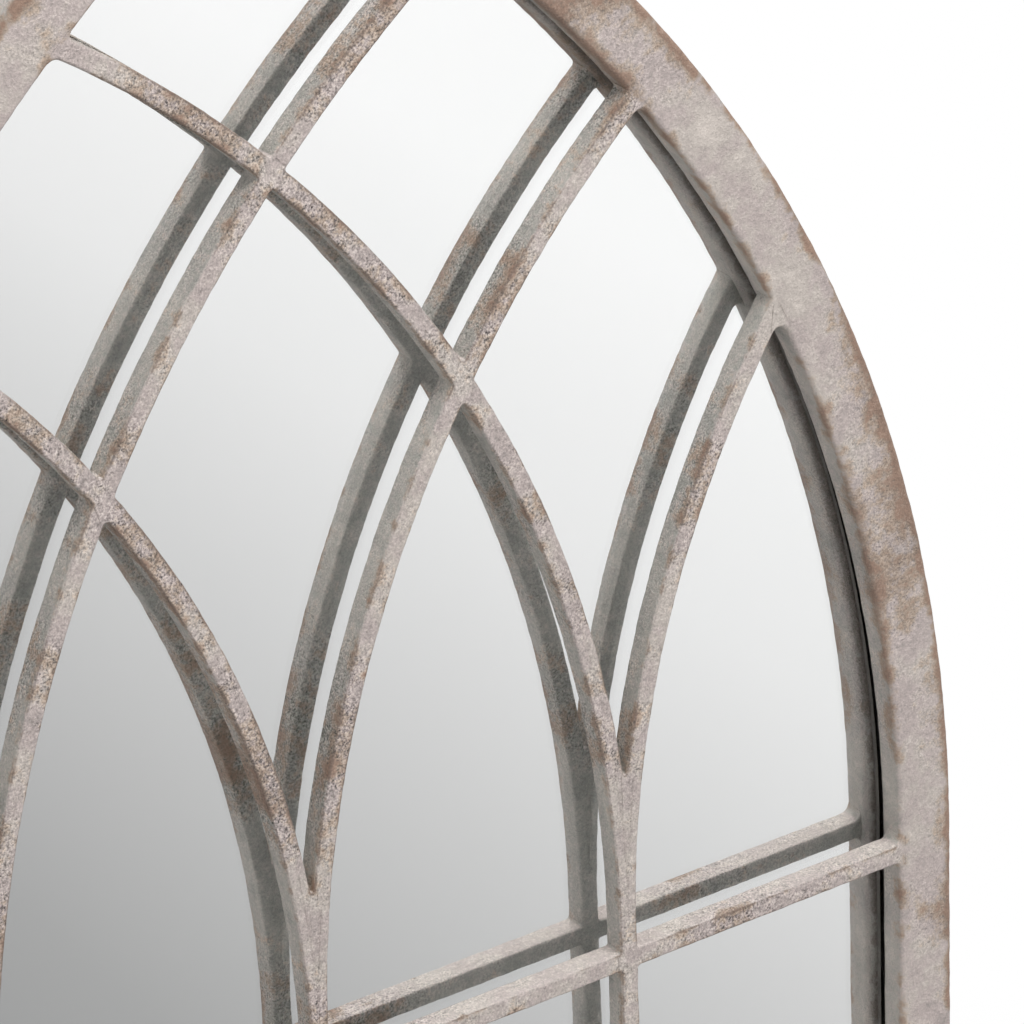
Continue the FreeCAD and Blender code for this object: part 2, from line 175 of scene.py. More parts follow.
# Studio: half width of the floor, distances over which its shadow ends, half width of the grey card
# that gloss sees in it, distances over which the card turns white, the lamp's place and side, and the
# camera's sensor, in millimetres, and far limit
FLOOR_HALF = 9.0
SHADOW_END = (1.02, 1.7)
CARD_HALF = 2.0
CARD_END = (3.3, 7.5)
CARD_STOPS = [(0.0, 0.18), (0.30, 0.40), (0.65, 0.84), (0.85, 0.98), (1.0, 1.0)]
LAMP_PLACE = (0.5, -1.3, 2.7)
LAMP_SIDE = 1.6
SENSOR_WIDTH = 36
VIEW_REACH = 100

# Fineness of the meshes
ROUND_STEPS = 7
BACK_ROUND_STEPS = 4
WELD_STEPS = 12
CHORD_STEPS = 6
PATCH_RINGS = 8
PANE_STEPS = 60
SHARP_ANGLE = math.radians(38)


def colour_property(name, description, default):
    return FloatVectorProperty(name=name, description=description, subtype="COLOR", default=default)


def shift_property(name, description, default):
    return FloatVectorProperty(name=name, description=description, subtype="XYZ", default=default)


def length_property(name, description, default):
    return FloatProperty(name=name, description=description, unit="LENGTH", default=default)


def angle_property(name, description, default):
    return FloatProperty(name=name, description=description, subtype="ANGLE", default=default)


class PaintLooks(PropertyGroup):
    """Distressed paint on the metal."""

    whitewash: colour_property("Whitewash", "Pinkish grey top coat", (0.520, 0.445, 0.425))
    cool_wash: colour_property("Cool wash", "Greenish grey places in the top coat", (0.472, 0.426, 0.388))
    undercoat: colour_property("Undercoat", "Grey coat under the rubbed top coat", (0.450, 0.445, 0.405))
    stain: colour_property("Stain", "Tan bloom of rust in the top coat", (0.348, 0.270, 0.212))
    rust: colour_property("Rust", "Bare rusty metal", (0.255, 0.163, 0.120))
    # Dirt in the pits, and also the colour of the dark lines of painted shade along the inner edge, behind
    # the reveal and in weld corners
    grime_and_shade: colour_property("Grime", "Dirt in the pits", (0.13, 0.10, 0.085))
    # Crumbs of paint, and also the painted highlight on level tops
    chalk_and_highlight: colour_property("Chalk", "White crumbs of paint", (0.80, 0.75, 0.70))
    cloud_shift: shift_property(
        "Cloud shift", "Moves the wide clouds of wear over the metal", (1.73, -2.74, 0.69)
    )
    blotch_shift: shift_property(
        "Blotch shift", "Moves the small blotches of wear over the metal", (-0.28, -1.17, -2.74)
    )
    grit: length_property("Grit height", "Height of the sandy grain", 0.5 * MM)


class FormSizes(PropertyGroup):
    """Sizes of the painted metal."""

    long_radius: length_property("Long arc", "Radius of the long arcs' centre line", 695 * MM)
    middle_radius: length_property("Middle arc", "Radius of the middle arcs' centre line", 610 * MM)
    short_radius: length_property("Short arc", "Radius of the short arcs' centre line", 560 * MM)
    frame_weld: length_property("Frame weld", "Fillet between a bar and the frame", 5 * MM)
    upper_weld: length_property("Upper weld", "Fillet over the back of an arc at the frame", 2.5 * MM)
    crossing_weld: length_property("Crossing weld", "Fillet where bars cross", 1.8 * MM)
    notch_weld: length_property("Notch weld", "Fillet between two arcs over a mullion", 1.1 * MM)
    unevenness: length_property("Unevenness", "Depth of the dents in the metal", 0.42 * MM)
    mesh_step: length_property("Mesh step", "Length of a mesh cell on the frame", 2.0 * MM)
    bar_mesh_step: length_property("Bar mesh step", "Length of a mesh cell on the bars", 1.2 * MM)


class StudioLooks(PropertyGroup):
    """Light, floor and camera."""

    ambient: FloatProperty(
        name="Ambient", description="Strength of the surrounding light", default=0.64, min=0
    )
    pane_gain: FloatProperty(
        name="Pane gain", description="Raises bounced light out of the pane, most of which the renderer's "
        "smoothing of gloss takes away", default=1.5, min=0
    )
    key_power: FloatProperty(
        name="Key lamp", description="Power of the lamp above the front", unit="POWER", default=70
    )
    floor_colour: colour_property("Floor", "Colour of the floor", (0.82, 0.82, 0.82))
    camera_place: FloatVectorProperty(
        name="Camera", description="Place of the camera", subtype="XYZ", unit="LENGTH",
        default=(-1.40164, -2.33122, 1.52861),
    )
    camera_heading: angle_property("Heading", "Turn of the camera to the right", 0.58756)
    camera_tilt: angle_property("Tilt", "Turn of the camera down", 0.46955)
    camera_roll: angle_property("Roll", "Turn of the camera about its axis", 0.03830)
    lens: FloatProperty(name="Lens", description="Focal length in millimetres", default=219.48)


# Sections


def rounded_loop(corners, step):
    """Closed line through (out, depth, radius) corners. At a corner of half angle h the round part is
    the circle of radius r that touches both sides r / tan h away. Straight parts are cut at the step
    and in their middle, where the paired arcs part."""
    places = np.array([corner[:2] for corner in corners])
    arcs = []
    for index, (_, _, radius) in enumerate(corners):
        here = places[index]
        before = places[index - 1] - here
        after = places[(index + 1) % len(corners)] - here
        before = before / np.linalg.norm(before)
        after = after / np.linalg.norm(after)
        if radius == 0:
            arcs.append(here[None])
            continue
        half = math.acos(before @ after) / 2
        bisector = (before + after) / np.linalg.norm(before + after)
        heart = here + bisector * radius / math.sin(half)
        first = here + before * radius / math.tan(half) - heart
        last = here + after * radius / math.tan(half) - heart
        turn = math.pi - 2 * half
        share = np.linspace(0, 1, ROUND_STEPS + 1)[:, None]
        swing = np.sin((1 - share) * turn) * first + np.sin(share * turn) * last
        arcs.append(heart + swing / math.sin(turn))
    parts = []
    for arc, following in zip(arcs, arcs[1:] + arcs[:1]):
        gap = following[0] - arc[-1]
        cells = 2 * math.ceil(np.linalg.norm(gap) / step / 2)
        share = np.linspace(0, 1, cells + 1)[1:-1, None]
        parts += [arc, arc[-1] + share * gap]
    return np.concatenate(parts)


def traced(line, out, depth):
    """Strength of a line at places out and depth, falling evenly to 0 at its reach."""
    strength, line_out, line_depth, reach = line
    return strength * np.clip(1 - np.hypot(out - line_out, depth - line_depth) / reach, 0, 1)


class Section:
    """Closed section with its outward normals: each is the mean of the two sides' own."""

    def __init__(self, corners, step):
        points = rounded_loop(corners, step)
        side = np.roll(points, -1, axis=0) - points
        side /= np.linalg.norm(side, axis=1)[:, None]
        tangent = side + np.roll(side, 1, axis=0)
        tangent /= np.linalg.norm(tangent, axis=1)[:, None]
        following = np.roll(points, -1, axis=0)
        turn = np.sign(np.sum(points[:, 0] * following[:, 1] - following[:, 0] * points[:, 1]))
        self.out, self.depth = points.T
        self.normal_out = turn * tangent[:, 1]
        self.normal_depth = -turn * tangent[:, 0]
        self.values = {}

    def facing_front(self):
        return np.clip(-self.normal_depth, 0, 1)

    def facing_back(self):
        return np.clip(self.normal_depth, 0, 1)

    def traced(self, line):
        return traced(line, self.out, self.depth)


def frame_section(step):
    """Folded sheet: outer wall, face, reveal and ledge, one sheet thick."""
    corners = [
        (frame_face, frame_depth, 0),
        (frame_face, frame_flush, outer_edge),
        (0, frame_flush, inner_edge),
        (0, reveal_depth, ledge_bend),
        (ledge_width, reveal_depth, 0),
        (ledge_width, reveal_depth - sheet, 0),
        (sheet, reveal_depth - sheet, 0),
        (sheet, sheet, 0),
        (frame_face - sheet, sheet, 0),
        (frame_face - sheet, frame_depth, 0),
    ]
    section = Section(corners, step)
    rim = section.traced(RIM) + section.traced(RIM_LINE)
    wear = np.maximum.reduce([rim, section.traced(RIM_BLOOM), section.traced(INNER_BAND)])
    # Full wash on the front, and a painted highlight along the foot of the reveal wall
    wash_and_highlight = np.maximum(section.facing_front(), section.traced(LIP_HIGHLIGHT))
    wash = frame_wall_wash + (1 - frame_wall_wash) * wash_and_highlight
    # Painted shade on the back-facing faces of the fold behind the reveal, and the painted shade line along
    # the inner front edge
    shaded_fold = section.facing_back() * (section.out < ledge_width)
    edge = np.maximum(section.traced(INNER_EDGE_SHADE), shaded_fold)
    section.values = {"wear": wear, "wash": wash, "edge": edge, "grit": np.full_like(wear, frame_grit)}
    return section


def tape_section(step):
    """Flat strip between the ledge and the glass, from the end of the ledge's bend outwards."""
    far = tape_high.x - opening_half
    corners = [(ledge_bend, reveal_depth), (far, reveal_depth), (far, glass_front), (ledge_bend, glass_front)]
    return Section([(*corner, 0) for corner in corners], step)


def bar_wear(out, depth, facing_front):
    """Wear of a bar or weld, a rubbed line along its front edge and a bloom that is weaker on the front, and
    a dark line along the same edge."""
    wear = traced(BAR_RUB, out, depth) + wall_bloom + (bar_bloom - wall_bloom) * facing_front
    return wear, traced(BAR_EDGE_DARKENING, out, depth)


def bar_section(flush, step):
    """Rectangle with two rounded front corners and two rounder rear ones."""
    half = bar_face / 2
    fronts = [(half, flush, bar_edge), (-half, flush, bar_edge)]
    rears = [(-half, bar_depth, bar_back_edge), (half, bar_depth, bar_back_edge)]
    section = Section(fronts + rears, step)
    wear, edge = bar_wear(abs(section.out) - half, section.depth, section.facing_front())
    # Less wash on the walls, and less again on the back, which paints shade on the back as well as a thinner
    # coat
    wash = wall_wash + (1 - wall_wash) * section.facing_front() - back_wash_and_shade_loss * section.facing_back()
    section.values = {"wear": wear, "wash": wash, "edge": edge, "grit": np.ones_like(wear)}
    return section


# Runs that a section is carried along, seen from the front, and dents


class StraightRun:
    """Line: the place is origin + along * travel + side * out."""

    def __init__(self, origin, along, side):
        self.origin = origin
        self.along = along
        self.side = side
        self.reach = 1

    def place(self, travel, out):
        x = self.origin[0] + self.along[0] * travel + self.side[0] * out
        z = self.origin[1] + self.along[1] * travel + self.side[1] * out
        return x, z

    def heading(self, travel):
        return self.side[0] + 0 * travel, self.side[1] + 0 * travel


class RoundRun:
    """Circle: the place is centre + (radius + out) * (hand * cos travel, sin travel)."""

    def __init__(self, centre, radius, hand):
        self.centre = centre
        self.radius = radius
        self.hand = hand
        self.reach = radius

    def place(self, travel, out):
        x = self.centre[0] + self.hand * (self.radius + out) * np.cos(travel)
        z = self.centre[1] + (self.radius + out) * np.sin(travel)
        return x, z

    def heading(self, travel):
        return self.hand * np.cos(travel), np.sin(travel)


def ripple(points, shortest, longest, seed):
    """Mean of plane waves of random heading, length and phase, raised to fill 0 to 1. It depends on
    place alone, so that pieces that touch are dented alike."""
    random = np.random.default_rng(seed)
    heading = random.normal(size=(3, RIPPLE_WAVES))
    heading /= np.linalg.norm(heading, axis=0)
    length = random.uniform(shortest, longest, RIPPLE_WAVES)
    phase = random.uniform(0, 2 * math.pi, RIPPLE_WAVES)
    total = np.sin(points @ (2 * math.pi * heading / length) + phase).mean(axis=-1)
    return np.clip(0.5 + RIPPLE_GAIN * total, 0, 1)


def dented(points, normals, depth, fullness=0.0):
    """Points moved in along their normals, by long dents and by short ones about half as deep.
    Fullness lets the sides swell, where the normal doesn't point to the front or the back."""
    share = long_dent_share * ripple(points, *long_dents)
    share = share + (1 - long_dent_share) * ripple(points, *short_dents)
    share = share - fullness * (1 - normals[..., 1] ** 2)
    return points - normals * (depth * share)[..., None]


def facing_up(normals):
    """1 on nearly level faces that look up, down to -1 on faces that look down, and 0 between."""
    return np.interp(normals[..., 2], FACING, (-1, 0, 0, 1))


def swept(run, section, start, finish, step):
    """Section carried along a run. Each of its points travels from its own start to its own finish."""
    start = np.broadcast_to(start, section.out.shape)
    finish = np.broadcast_to(finish, section.out.shape)
    cells = math.ceil(np.max(finish - start) * run.reach / step)
    travel = start + np.linspace(0, 1, cells + 1)[:, None] * (finish - start)
    x, z = run.place(travel, section.out)
    across_x, across_z = run.heading(travel)
    flat = np.zeros_like(travel)
    points = np.stack([x, front + section.depth + flat, z], axis=-1)
    normal_x = across_x * section.normal_out
    normal_z = across_z * section.normal_out
    normals = np.stack([normal_x, section.normal_depth + flat, normal_z], axis=-1)
    values = {name: value + flat for name, value in section.values.items()}
    values["top"] = facing_up(normals)
    return points, normals, values


def frame_members(section, step):
    """Section carried round the frame, by the name of each member: mitred at the sill, butted at the
    springing and cut plumb at the apex."""
    apex = np.arccos(-arch_centre / (arch_radius + section.out))
    drop = springing - (bottom + frame_face - section.out)
    half = opening_half + section.out
    rail = StraightRun((0, sill), (1, 0), (0, -1))
    members = {"bottom_rail": swept(rail, section, -half, half, step)}
    for side, hand in (("right", 1), ("left", -1)):
        plumb = StraightRun((hand * opening_half, springing), (0, -1), (hand, 0))
        arched = RoundRun((hand * arch_centre, springing), arch_radius, hand)
        members[side + "_stile"] = swept(plumb, section, 0, drop, step)
        members[side + "_arch"] = swept(arched, section, 0, apex, step)
    return members


# Meshes


class Shell:
    """Points, faces and paint values of one closed surface, gathered into a mesh."""

    def __init__(self, points, faces, values=None):
        self.points = points.reshape(-1, 3)
        self.faces = faces
        self.values = {name: value.ravel() for name, value in (values or {}).items()}
        if self.volume() < 0:
            self.faces = [face[::-1] for face in faces]

    def volume(self):
        """Sum over each face's fan of triangles of a . (b x c) / 6."""
        total = 0.0
        sides = {}
        for face in self.faces:
            sides.setdefault(len(face), []).append(face)
        for count, group in sides.items():
            corners = self.points[np.array(group)]
            for index in range(1, count - 1):
                across = np.cross(corners[:, index], corners[:, index + 1])
                total += np.einsum("ij,ij->", corners[:, 0], across) / 6
        return total


def ring_faces(rings, around):
    """Four-sided faces between rings of points, each ring closed."""
    index = np.arange(rings * around).reshape(rings, around)
    beside = np.roll(index, -1, axis=1)
    return np.stack([index[:-1], beside[:-1], beside[1:], index[1:]], axis=-1).reshape(-1, 4).tolist()


def capped(points, values=None):
    """Closed rings of points, with a face over the first ring and one over the last."""
    rings, around = points.shape[:2]
    index = np.arange(rings * around).reshape(rings, around)
    faces = ring_faces(rings, around) + [index[0, ::-1].tolist(), index[-1].tolist()]
    return Shell(points, faces, values)


def poled(points, values):
    """Closed rings of points whose first and last ring are each a single point."""
    rings, around = points.shape[:2]
    inner = points[1:-1].reshape(-1, 3)
    index = np.arange(len(inner)).reshape(rings - 2, around)
    beside = np.roll(index, -1, axis=1)
    first = np.full(around, len(inner))
    last = first + 1
    faces = ring_faces(rings - 2, around)
    faces += np.stack([first, beside[0], index[0]], axis=-1).tolist()
    faces += np.stack([last, index[-1], beside[-1]], axis=-1).tolist()
    ends = np.stack([points[0, 0], points[-1, 0]])
    values = {
        name: np.append(value[1:-1].ravel(), [value[0, 0], value[-1, 0]]) for name, value in values.items()
    }
    return Shell(np.concatenate([inner, ends]), faces, values)


def drawn_in(points, values):
    """Adds a ring at either end, all of it at the mean place of the end's own ring, so that an end that
    is cut on two planes closes inside the metal."""
    first = points[:1].mean(axis=1, keepdims=True) + 0 * points[:1]
    last = points[-1:].mean(axis=1, keepdims=True) + 0 * points[-1:]
    points = np.concatenate([first, points, last])
    return points, {name: np.concatenate([value[:1], value, value[-1:]]) for name, value in values.items()}


def linked(name, data):
    """New object in the scene."""
    added = bpy.data.objects.new(name, data)
    bpy.context.scene.collection.objects.link(added)
    return added


def finished_piece(name, shells, material, nodes):
    """One object from shells, smooth but for its sharp edges, riding in place of CAD nodes."""
    starts = np.cumsum([0] + [len(shell.points) for shell in shells])
    faces = []
    for start, shell in zip(starts, shells):
        faces += [[corner + int(start) for corner in face] for face in shell.faces]
    mesh = bpy.data.meshes.new(name)
    mesh.from_pydata(np.concatenate([shell.points for shell in shells]), [], faces)
    for key in shells[0].values:
        value = np.concatenate([shell.values[key] for shell in shells]).astype(np.float32)
        mesh.attributes.new(key, "FLOAT", "POINT").data.foreach_set("value", value)
    mesh.shade_smooth()
    mesh.set_sharp_from_angle(angle=SHARP_ANGLE)
    if mesh.validate():
        raise RuntimeError(f"{name} has faces that Blender had to mend")
    mesh.materials.append(material)
    piece = linked(name, mesh)
    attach(piece, "root")
    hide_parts(*nodes)


# Plan of the bars


class PlanCircle:
    """Round edge; free is 1 where the open space is outside the circle and -1 where it is inside."""

    def __init__(self, centre, radius, free, rounding):
        self.centre = np.array(centre, float)
        self.radius = radius
        self.free = free
        self.rounding = rounding

    def clearance(self, places):
        """How far places stand out in the open space."""
        return self.free * (np.linalg.norm(places - self.centre, axis=-1) - self.radius)

    def offset(self, distance):
        return PlanCircle(self.centre, self.radius + self.free * distance, self.free, self.rounding)

    def flipped(self):
        return PlanCircle(self.centre, self.radius, -self.free, self.rounding)

    def foot(self, point):
        return self.centre + (point - self.centre) / np.linalg.norm(point - self.centre) * self.radius


class PlanLine:
    """Straight edge through a point; the normal points into the open space."""

    def __init__(self, point, normal, rounding):
        self.point = np.array(point, float)
        self.normal = np.array(normal, float)
        self.rounding = rounding

    def clearance(self, places):
        return (places - self.point) @ self.normal

    def offset(self, distance):
        return PlanLine(self.point + self.normal * distance, self.normal, self.rounding)

    def flipped(self):
        return PlanLine(self.point, -self.normal, self.rounding)

    def foot(self, point):
        return point - self.normal * ((point - self.point) @ self.normal)


def quarter_turn(vector):
    return np.array([-vector[1], vector[0]])


def meet(first, second, near):
    """Crossing of two edges that lies nearest to a point: a line meets a line where their normals say,
    and otherwise the crossings lie half a chord either side of a base point."""
    if isinstance(first, PlanLine) and isinstance(second, PlanLine):
        along = quarter_turn(first.normal)
        gap = (second.point - first.point) @ second.normal
        return first.point + along * gap / (along @ second.normal)
    if isinstance(first, PlanLine):
        first, second = second, first
    if isinstance(second, PlanLine):
        base = second.foot(first.centre)
        along = quarter_turn(second.normal)
        half_chord = math.sqrt(first.radius ** 2 - np.sum((base - first.centre) ** 2))
    else:
        axis = second.centre - first.centre
        span = np.linalg.norm(axis)
        share = (span ** 2 + first.radius ** 2 - second.radius ** 2) / (2 * span ** 2)
        base = first.centre + axis * share
        along = quarter_turn(axis / span)
        half_chord = math.sqrt(first.radius ** 2 - (share * span) ** 2)
    found = [base + along * half_chord, base - along * half_chord]
    return min(found, key=lambda point: np.linalg.norm(point - near))


class Bar:
    """Bar of the window, whose edges lie half its face either side of its centre line."""

    def edges(self):
        line = self.centre_line()
        return [line.offset(bar_face / 2), line.flipped().offset(bar_face / 2)]


class StraightBar(Bar):
    """Mullion, transom or glazing bar: its run, where it starts and finishes, and the (place, normal)
    of each wall of the frame that it ends on."""

    def __init__(self, run, span, flush, walls):
        self.run = run
        self.span = span
        self.flush = flush
        self.walls = walls

    def ends(self, section):
        return self.span

    def centre_line(self):
        return PlanLine(self.run.origin, self.run.side, bar_edge)

    def frame_ends(self):
        return [(PlanLine(place, normal, inner_edge), np.array(place)) for place, normal in self.walls]


class TraceryArc(Bar):
    """Arc that springs plumb from a mullion and leans to one side, up to the frame."""

    def __init__(self, mullion_x, radius, lean):
        self.mullion_x = mullion_x
        self.radius = radius
        self.lean = lean
        self.flush = rightward_flush if lean > 0 else leftward_flush
        self.centre = (mullion_x + lean * radius, tracery)
        self.run = RoundRun(self.centre, radius, -lean)

    def ends(self, section):
        """A point at radius r starts where it leaves the mullion's centre plane, and ends on the
        frame's circle: the law of cosines gives m cos(travel + lag) = k for its distance m."""
        radius = self.radius + section.out
        start = np.arccos(np.minimum(1, self.radius / radius))
        across = self.lean * self.mullion_x + self.radius - arch_centre
        above = tracery - springing
        distance = math.hypot(across, above)
        lag = math.atan2(above, across)
        wall = arch_radius + wall_bite
        reach = (distance ** 2 + radius ** 2 - wall ** 2) / (2 * radius)
        return start, np.arccos(reach / distance) - lag

    def centre_line(self):
        return PlanCircle(self.centre, self.radius, 1, bar_edge)

    def frame_ends(self):
        wall = PlanCircle((self.lean * arch_centre, springing), arch_radius, -1, inner_edge)
        near = np.array([self.lean * opening_half, springing + arch_radius])
        return [(wall, meet(self.centre_line(), wall, near))]


def plan_bars(sizes):
    """Every bar by the name of its CAD node."""
    bars = {}
    for node, pitches in MULLIONS.items():
        x = pitches * mullion_pitch
        run = StraightRun((x, tracery), (0, -1), (1, 0))
        span = (0, tracery - sill + wall_bite)
        bars[node] = StraightBar(run, span, rightward_flush, [((x, sill), (0, 1))])
    for node in LYING_BARS:
        low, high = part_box(node)
        z = (low.z + high.z) / 2
        run = StraightRun((0, z), (1, 0), (0, 1))
        reach = opening_half + wall_bite
        walls = [((opening_half, z), (-1, 0)), ((-opening_half, z), (1, 0))]
        bars[node] = StraightBar(run, (-reach, reach), lying_flush, walls)
    for side, lean in (("rightward", 1), ("leftward", -1)):
        bars["long_arc_" + side] = TraceryArc(-lean * mullion_pitch, sizes.long_radius, lean)
        bars["middle_arc_" + side] = TraceryArc(0, sizes.middle_radius, lean)
        bars["short_arc_" + side] = TraceryArc(lean * mullion_pitch, sizes.short_radius, lean)
    return bars


def crossings(bars):
    """Pairs of bars that cross."""
    pairs = [
        ("long_arc_rightward", "long_arc_leftward"),
        ("middle_arc_rightward", "long_arc_leftward"),
        ("long_arc_rightward", "middle_arc_leftward"),
    ]
    pairs += [(mullion, lying) for lying in LYING_BARS for mullion in MULLIONS]
    return [(bars[first], bars[second]) for first, second in pairs]


# Welds


class Fillet:
    """Circle that touches two edges, as seen from a centre that it lies away from."""

    def __init__(self, first, second, near, radius, centre):
        corner = meet(first, second, near)
        self.heart = meet(first.offset(radius), second.offset(radius), corner)
        self.radius = radius
        touches = [first.foot(self.heart), second.foot(self.heart)]
        roundings = [first.rounding, second.rounding]
        bearings = [bearing(touch - centre) for touch in touches]
        if wrapped(bearings[1] - bearings[0]) < 0:
            touches.reverse()
            roundings.reverse()
        angles = [bearing(touch - self.heart) for touch in touches]
        share = np.linspace(0, 1, WELD_STEPS + 1)
        self.angle = angles[0] + share * wrapped(angles[1] - angles[0])
        self.rounding = roundings[0] + share * (roundings[1] - roundings[0])
        self.bearing = bearing(self.heart - centre)


def bearing(vector):
    return math.atan2(vector[1], vector[0])


def wrapped(angle):
    return (angle + math.pi) % (2 * math.pi) - math.pi


def fillet_columns(fillet):
    """Columns of (x, z, depth), one for each angle of the fillet, with the outward normals: from the
    flat front round a quarter circle, down the wall and round a second quarter circle to the back."""
    turn = np.linspace(0, math.pi / 2, ROUND_STEPS + 1)[:, None]
    back_turn = np.linspace(0, math.pi / 2, BACK_ROUND_STEPS + 1)[:, None]
    rounding = fillet.rounding
    back = np.full_like(rounding, bar_back_edge)
    out = np.concatenate([rounding * (1 - np.sin(turn)), back * (1 - np.cos(back_turn))])
    depth = np.concatenate([rounding * (1 - np.cos(turn)), weld_depth - back * (1 - np.sin(back_turn))])
    across, up = np.cos(fillet.angle), np.sin(fillet.angle)
    x = fillet.heart[0] + across * (fillet.radius + out)
    z = fillet.heart[1] + up * (fillet.radius + out)
    tilt = np.concatenate([turn, math.pi / 2 + back_turn])
    normals = np.stack([-across * np.sin(tilt), -np.cos(tilt) + 0 * x, -up * np.sin(tilt)], axis=-1)
    wear, edge = bar_wear(out, depth, np.clip(np.cos(tilt), 0, 1))
    # Painted shade on the fillet's wall, in the corner between the parts that it joins
    edge = np.maximum(edge, corner_shade * np.sin(tilt))
    return np.stack([x, front + depth, z], axis=-1), normals, wear, edge


def skirt_columns(places):
    """Columns that drop straight into the bar or frame below, at places (x, z)."""
    depth = np.linspace(0, skirt_depth, ROUND_STEPS + BACK_ROUND_STEPS + 2)[:, None]
    points = np.stack(np.broadcast_arrays(places[:, 0], front + depth, places[:, 1]), axis=-1)
    normals = np.zeros_like(points)
    normals[0, :, 1] = -1
    wear = np.full(points.shape[:2], bar_bloom)
    return points, normals, wear, np.zeros_like(wear)


def flat_end(fillet, index):
    """Place where the flat front ends, at one end of a fillet."""
    distance = fillet.radius + fillet.rounding[index]
    angle = fillet.angle[index]
    return fillet.heart + distance * np.array([math.cos(angle), math.sin(angle)])


def weld_patch(centre, fillets, waypoints=()):
    """Weld metal dressed flush: rings spread from the centre over the front to an outline made of
    fillets and of chords between them, and come together again behind it."""
    fillets = sorted(fillets, key=lambda fillet: fillet.bearing)
    parts = []
    for fillet, following in zip(fillets, fillets[1:] + fillets[:1]):
        parts.append(fillet_columns(fillet))
        stops = [flat_end(fillet, -1), *waypoints, flat_end(following, 0)]
        for here, there in zip(stops, stops[1:]):
            share = np.linspace(0, 1, CHORD_STEPS + 1)[:, None]
            parts.append(skirt_columns(here + share * (there - here)))
    points, normals, wear, edge = (np.concatenate(parts, axis=1) for parts in zip(*parts))
    middle = np.array([centre[0], front, centre[1]])
    spread = np.linspace(0, 1, PATCH_RINGS + 1)[:-1, None, None]
    face = middle + spread * (points[0] - middle)
    inward = np.broadcast_to([0.0, -1.0, 0.0], face.shape)
    rear = np.broadcast_to(middle + [0, weld_depth - weld_pole_inset, 0], (1,) + points.shape[1:])
    still = np.zeros_like(rear)
    points = np.concatenate([face, points, rear])
    normals = np.concatenate([inward, normals, still])
    last = np.zeros((1, wear.shape[1]))
    wear = np.concatenate([np.full(face.shape[:2], bar_bloom), wear, last])
    edge = np.concatenate([np.zeros(face.shape[:2]), edge, last])
    return points, normals, wear, edge


def painted_patch(sizes, centre, fillets, wall=None, waypoints=()):
    """Weld patch with its paint values, which turn into the frame's own past the frame's wall."""
    points, normals, wear, edge = weld_patch(centre, fillets, waypoints)
    wash = wall_wash + (1 - wall_wash) * np.clip(-normals[..., 1], 0, 1)
    grit = np.ones_like(wear)
    if wall is not None:
        inward = -wall.clearance(points[..., ::2])
        framed = np.clip(0.5 + inward / wall_blend, 0, 1)
        depth = points[..., 1] - front
        band = traced(INNER_BAND, inward, depth)
        wear = wear + framed * (band - wear)
        grit = grit + framed * (frame_grit - 1)
    values = {"wear": wear, "wash": wash, "edge": edge, "grit": grit, "top": facing_up(normals)}
    return poled(dented(points, normals, sizes.unevenness, bar_fullness), values)


def crossing_patches(bars, sizes):
    """A patch over each crossing, with a fillet in each of its four corners."""
    patches = []
    for over, under in crossings(bars):
        near = over.frame_ends()[0][1]
        centre = meet(over.centre_line(), under.centre_line(), near)
        fillets = [
            Fillet(first, second, centre, sizes.crossing_weld, centre)
            for first in over.edges()
            for second in under.edges()
        ]
        patches.append(painted_patch(sizes, centre, fillets))
    return patches


def frame_patches(bars, sizes):
    """A patch over each end of a bar on the frame, with a fillet on both sides of the bar."""
    patches = []
    for bar in bars.values():
        radii = [sizes.upper_weld if isinstance(bar, TraceryArc) else sizes.frame_weld, sizes.frame_weld]
        for wall, centre in bar.frame_ends():
            sides = zip(bar.edges(), radii)
            fillets = [Fillet(edge, wall, centre, radius, centre) for edge, radius in sides]
            patches.append(painted_patch(sizes, centre, fillets, wall))
    return patches


def notch_patches(bars, sizes):
    """A patch over the notch above each mullion, down to where the arcs' flat fronts join."""
    patches = []
    arcs = [bar for bar in bars.values() if isinstance(bar, TraceryArc)]
    for x in (-mullion_pitch, 0, mullion_pitch):
        first, second = [bar.edges()[0] for bar in arcs if abs(bar.mullion_x - x) < mullion_pitch / 2]
        above = np.array([x, springing + arch_radius])
        notch = meet(first, second, above)
        centre = notch - [0, notch_reach / 2]
        fillet = Fillet(first, second, above, sizes.notch_weld, centre)
        low = notch[1] - notch_reach
        waypoints = [np.array([x - bar_edge, low]), np.array([x + bar_edge, low])]
        patches.append(painted_patch(sizes, centre, [fillet], None, waypoints))
    return patches


# Shader maths


def maths(operation, reflected=False):
    """Method of a signal that adds a Math node on it and another value, which a reflected one takes
    first."""

    def combined(self, other=0.0):
        first, second = (other, self) if reflected else (self, other)
        return self.shader.value("ShaderNodeMath", {"operation": operation}, {0: first, 1: second})

    return combined


class Signal:
    """A shader's socket; arithmetic on it adds Math nodes."""

    def __init__(self, shader, socket):
        self.shader = shader
        self.socket = socket

    __add__ = maths("ADD")
    __radd__ = maths("ADD", reflected=True)
    __sub__ = maths("SUBTRACT")
    __rsub__ = maths("SUBTRACT", reflected=True)
    __mul__ = maths("MULTIPLY")
    __rmul__ = maths("MULTIPLY", reflected=True)
    __abs__ = maths("ABSOLUTE")
    highest = maths("MAXIMUM")


